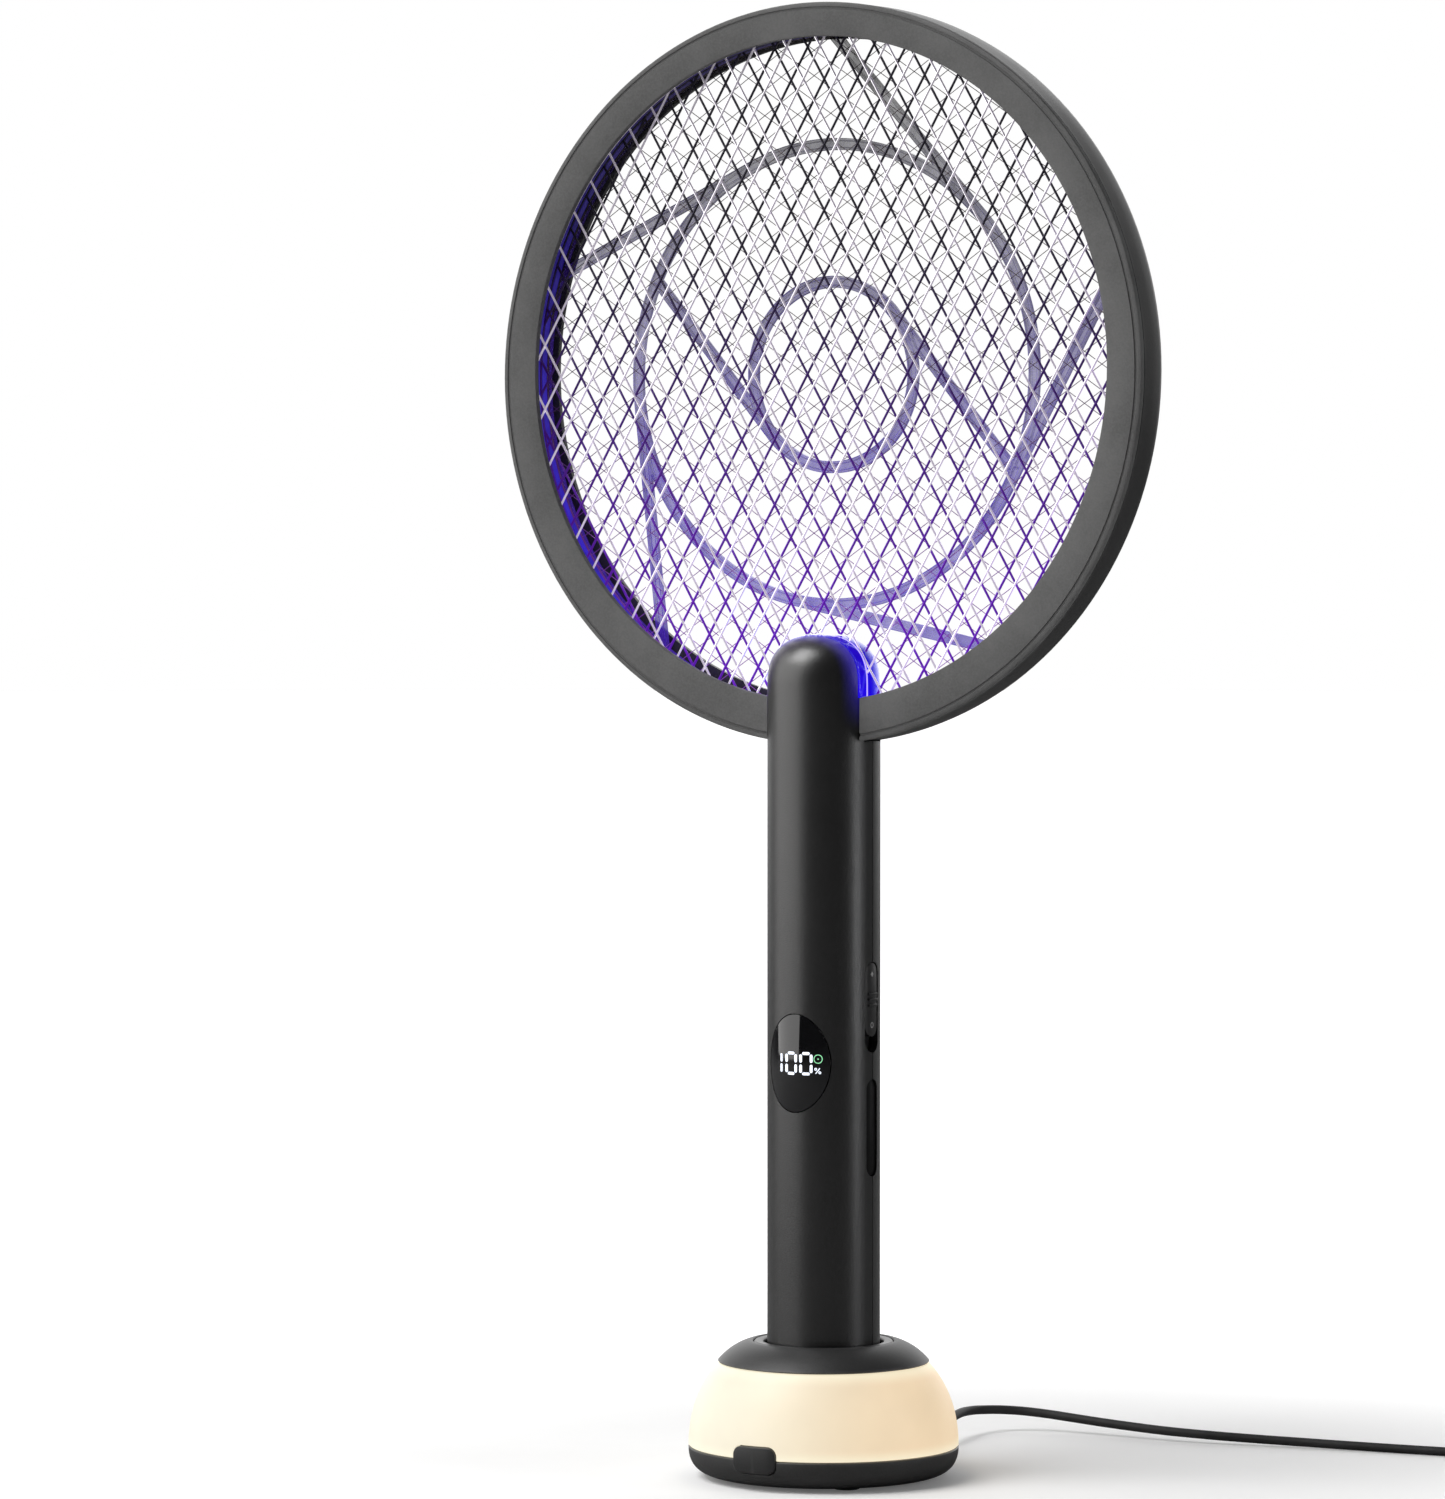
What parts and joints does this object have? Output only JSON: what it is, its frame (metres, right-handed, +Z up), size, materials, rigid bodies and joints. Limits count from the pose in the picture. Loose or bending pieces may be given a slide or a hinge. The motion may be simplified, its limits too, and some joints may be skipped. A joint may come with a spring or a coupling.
{
  "type": "electric fly swatter",
  "caption": "Round-headed electric fly swatter with layered wire grids, a cylindrical handle with a charge display and side switches, standing in a round lit charging base with its cable.",
  "frame": {"origin": "centre of the base's underside, where its feet stand", "axes": "+Z up along the handle, -Y towards the display side, +X towards the side with the switches, +Y towards the cable's port"},
  "size_m": [0.2948, 0.2458, 0.4292],
  "materials": {
    "frame": "fine matt mould texture, dark grey",
    "head_plastic": "satin black moulded plastic",
    "handle_plastic": "satin black moulded plastic",
    "base_plastic": "matt charcoal moulded plastic",
    "gloss_window": "gloss black window",
    "guard_plastic": "translucent violet-lit plastic",
    "lens": "violet-lit translucent lens",
    "insulator": "satin insulating plastic",
    "opal": "opal diffuser, lit warm white",
    "wire": "bright drawn wire",
    "steel": "plated steel",
    "gold": "gold-plated contact",
    "board": "green solder mask",
    "component": "moulded component body",
    "led": "moulded lamp body",
    "cell": "shrink sleeve",
    "film": "tape-wrapped winding",
    "rubber": "soft black jacket"
  },
  "bodies": {
    "base": {"base_bottom_shell": "base_plastic", "base_diffuser": "opal", "base_cap": "base_plastic", "socket_cup": "base_plastic", "charging_board": "board", "charging_pin_left": "gold", "charging_pin_right": "gold", "base_screw_left": "steel", "base_screw_right": "steel", "usb_socket": "steel", "light_board": "board", "light_led_1": "led", "light_led_2": "led", "light_led_3": "led", "light_led_4": "led", "base_weight": "steel", "base_button_switch": "component", "foot_pad_1": "rubber", "foot_pad_2": "rubber", "foot_pad_3": "rubber", "foot_pad_4": "rubber", "cable_plug_c": "rubber", "charging_cable": "rubber", "charging_cable_coil": "rubber", "cable_plug_a": "rubber"},
    "swatter": {"front_trim_ring": "frame", "front_grid": "wire", "front_spacer_ring": "insulator", "high_voltage_grid": "wire", "rear_spacer_ring": "insulator", "rear_grid": "wire", "rear_guard": "guard_plastic", "head_shell": "head_plastic", "uv_lens": "lens", "uv_led_board": "board", "uv_led_left": "led", "uv_led_right": "led", "handle_front_shell": "handle_plastic", "handle_rear_shell": "handle_plastic", "handle_end_cap": "handle_plastic", "charge_contact_left": "gold", "charge_contact_right": "gold", "display_window": "gloss_window", "display_module": "component", "main_circuit_board": "board", "hv_transformer": "film", "hv_capacitor": "cell", "battery_cell": "cell", "battery_contact_top": "steel", "battery_contact_bottom": "steel", "slide_switch_body": "component", "tact_switch": "component", "handle_screw_lower": "steel", "handle_screw_upper": "steel", "neck_screw_left": "steel", "neck_screw_right": "steel"},
    "power_switch": {"slide_switch_knob": "handle_plastic"},
    "zap_key": {"zap_button": "handle_plastic"},
    "light_key": {"base_button": "base_plastic"}
  },
  "joints": [
    {"name": "swatter_lift", "type": "slide", "parent": "base", "child": "swatter", "axis": [0, 0, 1], "range_m": [0, 0.04]},
    {"name": "switch_slide", "type": "slide", "parent": "swatter", "child": "power_switch", "axis": [0, 0, -1], "range_m": [0, 0.0045]},
    {"name": "zap_press", "type": "slide", "parent": "swatter", "child": "zap_key", "axis": [-1, 0, 0], "range_m": [0, 0.001], "stiffness_N_per_m": 800, "springref_m": -0.0003},
    {"name": "light_press", "type": "slide", "parent": "base", "child": "light_key", "axis": [0, 1, 0], "range_m": [0, 0.0008], "stiffness_N_per_m": 800, "springref_m": -0.0003}
  ]
}
